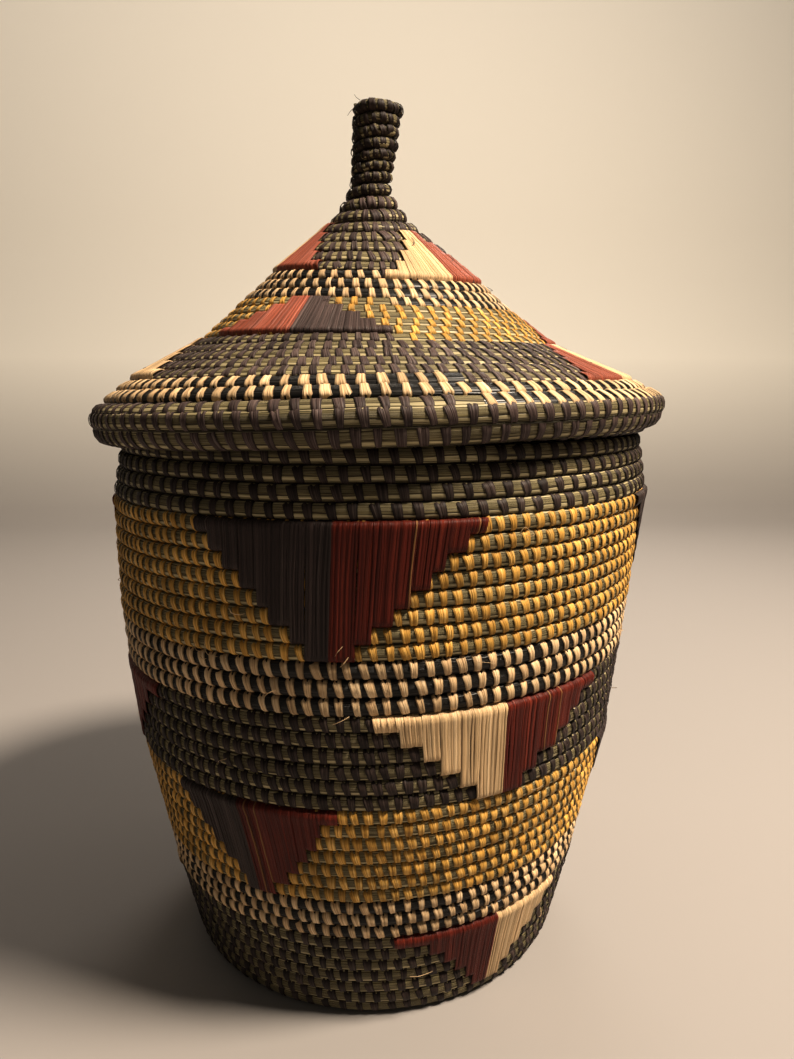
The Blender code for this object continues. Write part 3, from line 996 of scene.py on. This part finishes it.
# Colours from a groove to the palest fibre, as linear values.
DARK_DYE = ((0.0, (0.005, 0.003, 0.003)), (0.5, (0.030, 0.019, 0.016)), (1.0, (0.110, 0.080, 0.068)))
GREY_DYE = ((0.0, (0.006, 0.004, 0.004)), (0.5, (0.038, 0.025, 0.023)), (1.0, (0.150, 0.115, 0.102)))
# A paler copy of the dark dye for the lid: painted light and sheen.
LID_LIT_DARK_DYE = ((0.0, (0.011, 0.007, 0.007)), (0.5, (0.066, 0.043, 0.039)), (1.0, (0.190, 0.145, 0.128)))
YELLOW_DYE = ((0.0, (0.20, 0.090, 0.015)), (0.5, (0.58, 0.325, 0.072)), (1.0, (0.88, 0.62, 0.250)))
UNDYED = ((0.0, (0.28, 0.165, 0.085)), (0.5, (0.615, 0.430, 0.240)), (1.0, (0.85, 0.695, 0.485)))
RED_DYE = ((0.0, (0.014, 0.002, 0.002)), (0.5, (0.100, 0.013, 0.007)), (1.0, (0.310, 0.060, 0.028)))
# A paler copy of the red dye for the lid: painted light and sheen.
LID_LIT_RED_DYE = ((0.0, (0.060, 0.014, 0.008)), (0.5, (0.270, 0.070, 0.038)), (1.0, (0.430, 0.155, 0.095)))
GRASS = (
    (0.0, (0.012, 0.008, 0.004)), (0.25, (0.105, 0.082, 0.039)),
    (0.6, (0.27, 0.227, 0.116)), (1.0, (0.56, 0.475, 0.295)),
)
BLACK_DYE = ((0.0, (0.002, 0.0015, 0.001)), (0.75, (0.005, 0.004, 0.003)), (1.0, (0.030, 0.024, 0.020)))
ODD_RED = (0.20, 0.095, 0.038)
# Tones over which a strand takes the odd colour. Only the odd strands have tone 1.
ODD_TONES = (0.985, 0.995)
# Roughness of the darkest and palest fibres.
DULL = (0.66, 0.46)
SILKY = (0.55, 0.38)
GLOSSY = (0.30, 0.48)
# The edge shade setting darkens the sides of wraps and strands as painted shade.
WRAP_FIBRES = {
    "Strands Across": 3.3, "Fibres Across": 12.0, "Fibres Along": 60.0,
    "Edge Shade": 0.5, "Softness": 0.24, "Line Shade": 0.62,
}
STRAND_FIBRES = {
    "Strands Across": 2.0, "Fibres Across": 14.0, "Fibres Along": 7.0,
    "Edge Shade": 0.35, "Softness": 0.38, "Line Shade": 0.84,
}
ROUND_STEMS = {"Stems Round": 17.0, "Wander Along": 14.0}


def make_materials():
    fibres = fibre_group()
    stems = stem_group()

    def wraps(name, dye, spread):
        return plant_material(name, fibres, WRAP_FIBRES, dye, 0.7, DULL, spread, 0.22)

    def floats(name, dye, spread, accent=None):
        return plant_material(name, fibres, STRAND_FIBRES, dye, 0.7, SILKY, spread, 0.2, accent)

    def ground(name, dye, bump, rough, spread, sheen):
        return plant_material(name, stems, ROUND_STEMS, dye, bump, rough, spread, sheen)

    return {
        "dark": wraps("dark purple-brown wraps", DARK_DYE, 0.25),
        # The lid's paler copies of the dark dye paint on the light and sheen that the lid catches.
        "faded dark": wraps("faded purple-brown wraps", LID_LIT_DARK_DYE, 0.25),
        "yellow": wraps("ochre yellow wraps", YELLOW_DYE, 0.20),
        "natural": wraps("undyed wraps", UNDYED, 0.18),
        # The ground materials' tone spread also darkens the groove strips, which have tone 0: painted shade.
        "stems": ground("olive grass stems", GRASS, 0.8, DULL, 0.72, 0.25),
        "black": ground("glossy black strips", BLACK_DYE, 0.6, GLOSSY, 0.6, 0.3),
        "red strands": floats("red-brown raffia floats", RED_DYE, 0.34, ODD_RED),
        # The lid's paler copies of the red and grey strand dyes paint on the light and sheen that the lid
        # catches.
        "faded red strands": floats("faded red-brown raffia floats", LID_LIT_RED_DYE, 0.26, ODD_RED),
        "grey strands": floats("purple-brown raffia floats", GREY_DYE, 0.36),
        "faded grey strands": floats("faded purple-brown raffia floats", LID_LIT_DARK_DYE, 0.28),
        "natural strands": floats("undyed raffia floats", UNDYED, 0.20),
    }


# Coils and wraps


def row_kind(line, name):
    """How round a band's rows are: the lid's cone is flatter than its rim, neck and knob."""
    if line is LID:
        return "rim" if name in ("lid_rim_coils", "lid_neck_coils", "lid_knob_coil") else "lid"
    return "body"


def seam_share(line, name):
    """Where a band's colour starts, as a share of the turn from the coil's own seam."""
    return COLOUR_SEAMS[name] / 360 + 1 - line.seam if name in COLOUR_SEAMS else 0.0


def coil_ends(line, name):
    """Turn counts at which a band starts and ends."""
    names = sorted(line.first, key=line.first.get)
    after = names.index(name) + 1
    start = line.first[name] + seam_share(line, name)
    if after == len(names):
        return start, len(line.radius) - 1 + SEAM_CLIMB
    return start, line.first[names[after]] + seam_share(line, names[after])


def make_stems(line, name, tools, body, node):
    """The bundle of grass stems under the wraps, and thin strips pressed into the groove below, painted dark
    as the shade of that groove.
    """
    start, end = coil_ends(line, name)
    grassy = STITCHING[name].ground == "stems"
    rods = Rods()
    path = along_coil(line, np.append(even_turns(line, start, end, STEM_STEP), end), UNEVEN.get(name, EVEN))
    slim = np.clip(path["half"] / FULL_HALF, 0, 1)
    half = path["half"] - SIDE_GAP * slim
    deep = path["deep"] - (UNEVEN_SUNK if name in UNEVEN else SUNK) * slim
    rods.lay(path["centre"], path["out"], path["up"], half, deep, 0.5)
    path = along_coil(line, np.append(even_turns(line, start, end, PACKING_STEP), end))
    edge = path["centre"] - path["up"] * path["half"][:, None] - path["out"] * (path["deep"] * 0.1)[:, None]
    # Tone 0 darkens these strips in the ground material: painted shade in the groove between rows.
    rods.lay(edge, path["out"], path["up"], *PACKING_HALF, 0.0)
    settings = {
        "Sides": 12,
        "Roundness": ROUNDNESS[row_kind(line, name)],
        "Ripple": 0.10 if grassy else 0.07,
        "Ripples Across": 9.0,
        "Ripples Along": 24.0 if grassy else 60.0,
        "Seed": 0.5 + start,
    }
    ground = STITCHING[name].ground
    item = rods.grown(name + "_" + ground, tools, ground, **settings)
    belongs(item, body, node)


def make_wraps(line, name, tools, body, node, seed):
    """The raffia wraps of one band."""
    plan = STITCHING[name]
    start, end = coil_ends(line, name)
    turns = even_turns(line, start + BARE_START, end - BARE_END, plan.spacing, DRIFT)
    path = along_coil(line, turns, UNEVEN.get(name, EVEN))
    # The lid's coil starts at the knob, so its wraps are stitched into the row above.
    if line is LID and name != "lid_rim_coils":
        path["along"] = -path["along"]
    keep = path["half"] > THINNEST
    values = {key: [path[key][keep]] for key in ("out", "up", "along", "half", "deep")}
    settings = {
        "Shapes": tools["shapes"][row_kind(line, name)],
        "Width": plan.width,
        "Width Spread": 0.34 if name in UNEVEN else 0.16,
        "Slant Spread": 0.26 if name in UNEVEN else 0.12,
        "Seed": seed,
        "Material": tools["materials"][plan.colour],
    }
    source = path_object([path["centre"][keep]], values, loose=True)
    item = grown(name + "_wraps", source, tools["wraps"], settings)
    belongs(item, body, node)


def make_band(line, name, tools, body, node=None, seed=1):
    make_stems(line, name, tools, body, node or name)
    make_wraps(line, name, tools, body, node or name, seed)


# Panels


def stair(panel, number):
    """Half widths of a panel on each side at each row, from its wide end. Each is made by hand, so
    those after the first differ a little."""
    wobble = np.random.RandomState(number).uniform(-0.6, 0.6, (2, len(panel.left))) * (number > 1)
    return np.array(panel.left) + wobble[0], np.array(panel.right) + wobble[1]


def near_angle(line, angle):
    """The same angle within the line's own turn, which starts at its seam."""
    return angle - 360 if angle > line.seam * 360 else angle


def wide_edge(line, panel, angle):
    """Row edge at a panel's wide end, and the way that its rows are counted from there."""
    if line is BODY:
        return line.first[panel.band] + len(panel.left), -1
    return line.first[panel.band] + (near_angle(line, angle) < COLOUR_SEAMS[panel.band]), 1


def strip_path(line, first, depth, inward, angle, tip_angle, lift, bend, tilt):
    """Points of one raffia strip, from the groove at the wide end over some rows into a groove."""
    inner = np.arange(0.5, depth - 0.25, 0.5)
    steps = np.concatenate([TUCK, inner, [depth - share for share in TUCK[::-1]]])
    dips = np.where(np.abs(inner - np.round(inner)) < 0.1, -DIP, DIP)
    roll = ROLL * np.exp(-((inner - 0.3) / 0.5) ** 2)
    share = steps / depth
    turn = radians(angle) + (radians(tip_angle) - radians(angle)) * share + bend * np.sin(pi * share)
    edge = first + inward * steps
    rows = edge + pitch(line, edge) * turn / (2 * pi)
    dr, dz, _ = climb_at(line, rows, 0.4)
    r, z = line_at(line, rows)
    rise = lift + np.concatenate([TUCK_LIFTS, dips + roll, END_LIFTS])
    centre = placed(line, r + dz * rise, z - dr * rise, turn)
    out = turned(dz, -dr, turn)
    along = np.stack([np.cos(turn), np.sin(turn), 0 * turn], axis=-1)
    return centre, out * cos(tilt) + along * sin(tilt), along * cos(tilt) - out * sin(tilt)


def make_panel_half(line, panel, number, centre, side, tools, body):
    """One colour of a stepped triangle: raffia strips side by side, a group for each step."""
    colour = panel.left_colour if side < 0 else panel.right_colour
    widths = stair(panel, number)[0 if side < 0 else 1]
    wide = near_angle(line, centre)
    first, inward = wide_edge(line, panel, centre)
    radius = line_at(line, float(first))[0]
    name = f"{panel.name}_{number}_{colour}"
    rng = np.random.RandomState(sum(map(ord, name)))
    rods = Rods()

    def lay(middle, half, lift, tone):
        depth = max(1, int(np.sum(widths >= middle - 0.05)))
        whole = depth / len(widths)
        fan = FAN * middle / widths[0] * whole
        step = np.degrees(half / radius)
        tip = side * max(middle * (1 - fan), step * 0.3) + rng.uniform(-TIP_SWAY, TIP_SWAY) * step
        tip = wide + tip + panel.lean * whole
        bend = radians(rng.uniform(-BEND_SWAY, BEND_SWAY)) * whole
        tilt = rng.uniform(-TILT_SWAY, TILT_SWAY)
        points, out, up = strip_path(line, first, depth, inward, wide + side * middle, tip, lift, bend, tilt)
        halves = np.linspace(half, half * rng.uniform(*STRAND_TAPER), len(points))
        rods.lay(points, out, up, halves, rng.uniform(*STRAND_DEEP), tone)

    offset = 0.0
    while offset < widths[0] - 0.2:
        half = rng.uniform(*STRAND_HALF)
        step = np.degrees(half * rng.uniform(*STRAND_STEP) / radius)
        middle = min(offset + step / 2, widths[0] - 0.15)
        lay(middle, half, rng.uniform(*STRAND_LIFT), rng.uniform(0.0, 0.98))
        offset += step
    for middle in ODD_STRANDS.get(name, ()):
        lay(middle, ODD_HALF, ODD_LIFT, 1.0)
    # On the lid, the red and grey strands take paler copies of their dyes: painted light and sheen.
    faded = "faded " if line is LID and colour != "natural" else ""
    settings = {"Sides": 10, "Ripple": 0.35, "Ripples Across": 9.0, "Ripples Along": 3.0}
    item = rods.grown(name, tools, f"{faded}{colour} strands", **settings)
    belongs(item, body, f"{panel.name}_{number}")


def make_panels(line, panels, tools, body):
    for panel in panels:
        for number, centre in enumerate(panel.angles, 1):
            for side in (-1, 1):
                make_panel_half(line, panel, number, centre, side, tools, body)


# Loose fibres and the knob's core


def random_fibres(line, count, seed):
    """More loose fibres, spread over the whole coil: short, bent, and lifted off in the middle."""
    rng = np.random.RandomState(seed)
    fibres = []
    for number in range(count):
        angle = 360 * (number + rng.uniform(0.1, 0.9)) / count - 180
        height = rng.uniform(line.height[2] + FIBRE_FREE[0], line.height[-1] - FIBRE_FREE[1])
        radius = np.interp(height, line.height, line.radius)
        heading = rng.uniform(-0.9, 0.9) + pi * (rng.uniform() < 0.5)
        turn = rng.uniform(-0.5, 0.5)
        step = rng.uniform(*FIBRE_STEP)
        rise = rng.uniform(*FIBRE_RISE) * (rng.uniform() < RISING_SHARE)
        points = []
        for place, lift in enumerate(FIBRE_LIFTS):
            points.append((angle, height, lift + rise * place / 3))
            angle += np.degrees(step * cos(heading) / radius)
            height += 0.7 * step * sin(heading)
            heading += turn
        fibres.append(tuple(points))
    return tuple(fibres)


def curved(points, parts=5):
    """Smooth line through the points."""
    points = np.array(points)
    ends = np.concatenate([[2 * points[0] - points[1]], points, [2 * points[-1] - points[-2]]])
    line = []
    for a, b, c, d in zip(ends, ends[1:], ends[2:], ends[3:]):
        for share in np.arange(parts) / parts:
            line.append(
                0.5 * (2 * b + (c - a) * share + (2 * a - 5 * b + 4 * c - d) * share**2
                + (3 * b - a - 3 * c + d) * share**3)
            )
    return np.array(line + [points[-1]])


def make_loose_fibres(line, body, tools, material, count, seed):
    rng = np.random.RandomState(seed + 50)
    rods = Rods()
    for fibre in LOOSE_FIBRES[body] + random_fibres(line, count, seed):
        degrees, heights, lifts = curved(fibre).T
        turn = np.radians(degrees)
        radius = np.interp(heights, line.height, line.radius) + lifts
        centre = placed(line, radius, heights, turn)
        ahead = np.gradient(centre, axis=0)
        ahead /= np.linalg.norm(ahead, axis=1)[:, None]
        side = np.cross(ahead, turned(np.ones(len(turn)), 0 * turn, turn))
        side /= np.linalg.norm(side, axis=1)[:, None]
        half = rng.uniform(*FIBRE_HALF) * np.linspace(1.0, 0.6, len(turn))
        rods.lay(centre, np.cross(side, ahead), side, half, half, rng.uniform(0.3, 0.98))
    item = rods.grown(body + "_loose_fibres", tools, material, Sides=5, Ripple=0.0)
    belongs(item, body)


def make_core(tools):
    """Cut ends of the stem bundle inside the knob."""
    rng = np.random.RandomState(5)
    foot = LID.height[LID.first["lid_knob_coil"]] - CORE_DEPTH
    top = LID.height[-1]
    rods = Rods()
    for ring, (radius, count) in enumerate(CORE_RINGS):
        for number in range(count):
            turn = 2 * pi * number / count + rng.uniform(-0.1, 0.1)
            heights = np.linspace(foot, top - rng.uniform(0.0, CORE_CUT) - CORE_DOME * ring, 6)
            x = radius * np.sin(turn) + np.interp(heights, LID.stray[0], LID.stray[1])
            y = -radius * np.cos(turn) + 0 * heights
            half = rng.uniform(*CORE_HALF)
            out, up = (sin(turn), -cos(turn), 0.0), (cos(turn), sin(turn), 0.0)
            rods.lay(np.stack([x, y, heights], axis=-1), out, up, half, half, rng.uniform())
    item = rods.grown("lid_knob_core_stems", tools, "stems", Sides=7, Ripple=0.1)
    belongs(item, "lid", "lid_knob_core")


# Stage


def make_stage():
    sweep = [(STAGE_FRONT, 0.0), (BEND_START, 0.0)]
    for number in range(1, 9):
        turn = pi / 2 * number / 8
        sweep.append((BEND_START + BEND_RADIUS * sin(turn), BEND_RADIUS - BEND_RADIUS * cos(turn)))
    sweep.append((BEND_START + BEND_RADIUS, WALL_TOP))
    verts = [(x, y, z) for y, z in sweep for x in (-STAGE_SIDE, STAGE_SIDE)]
    faces = [(2 * i, 2 * i + 1, 2 * i + 3, 2 * i + 2) for i in range(len(sweep) - 1)]
    mesh = bpy.data.meshes.new("floor")
    mesh.from_pydata(verts, [], faces)
    mesh.shade_smooth()
    made = bpy.data.materials.new("pale floor")
    made.use_nodes = True
    shader = made.node_tree.nodes["Principled BSDF"]
    t = Tree(made.node_tree)
    place = t.add("ShaderNodeTexCoord").outputs["Object"]
    rise = t.add("ShaderNodeSeparateXYZ", {"Vector": place}).outputs["Z"]
    colour = blended(t, between(t, rise, 0.0, PALE_HEIGHT), FLOOR_COLOUR, WALL_COLOUR)
    t.put(shader.inputs["Base Color"], colour)
    shader.inputs["Roughness"].default_value = 0.9
    mesh.materials.append(made)
    linked("floor", mesh)


def make_light(light):
    data = bpy.data.lights.new(light.name, "AREA")
    data.shape = "ELLIPSE"
    data.size, data.size_y = light.size
    data.energy = light.power
    data.color = light.colour
    lamp = linked(light.name, data)
    lamp.location = light.place
    direction = np.array(light.place) - np.array(light.aim)
    flat = hypot(direction[0], direction[1])
    lamp.rotation_euler = (np.arctan2(flat, direction[2]), 0.0, np.arctan2(direction[0], -direction[1]))


def make_room():
    """Even light from all round, which the camera sees brighter than it shines."""
    world = bpy.data.worlds.new("pale room")
    world.use_nodes = True
    t = Tree(world.node_tree)
    sky = world.node_tree.nodes["Background"]
    sky.inputs["Color"].default_value = ROOM_COLOUR
    seen = t.add("ShaderNodeLightPath").outputs["Is Camera Ray"]
    t.put(sky.inputs["Strength"], between(t, seen, 0.0, 1.0, ROOM_LIGHT, ROOM_SEEN))
    bpy.context.scene.world = world


def make_camera():
    data = bpy.data.cameras.new("camera")
    data.lens = CAMERA_LENS
    data.clip_start = 0.01
    camera = linked("camera", data)
    camera.location = CAMERA_PLACE
    camera.rotation_euler = (radians(CAMERA_TILT), 0.0, radians(CAMERA_TURN))
    bpy.context.scene.camera = camera


def main():
    bpy.context.scene.view_settings.view_transform = "Standard"
    bpy.context.scene.view_settings.gamma = VIEW_GAMMA
    make_camera()
    make_stage()
    for light in LIGHTS:
        make_light(light)
    make_room()
    tools = {"materials": make_materials(), "rods": rod_tree(), "wraps": wrap_tree()}
    tools["shapes"] = {kind: wrap_shapes(kind) for kind in ROUNDNESS}
    make_band(BASE, "base_coil", tools, "basket")
    for seed, name in enumerate(BODY.first, 2):
        node = "base_coil" if name == "base_edge_coil" else name
        make_band(BODY, name, tools, "basket", node, seed)
    for seed, name in enumerate(LID.first, 12):
        make_band(LID, name, tools, "lid", name, seed)
    make_panels(BODY, BODY_PANELS, tools, "basket")
    make_panels(LID, LID_PANELS, tools, "lid")
    make_band(COLLAR, "lid_collar_coils", tools, "lid", seed=31)
    make_band(SEAT, "lid_seat_coils", tools, "lid", "lid_rim_coils", seed=32)
    make_core(tools)
    make_loose_fibres(BODY, "basket", tools, "natural strands", count=26, seed=71)
    # The lid's loose fibres use the paler lid copy of the dark dye: painted light and sheen.
    make_loose_fibres(LID, "lid", tools, "faded grey strands", count=16, seed=83)


main()
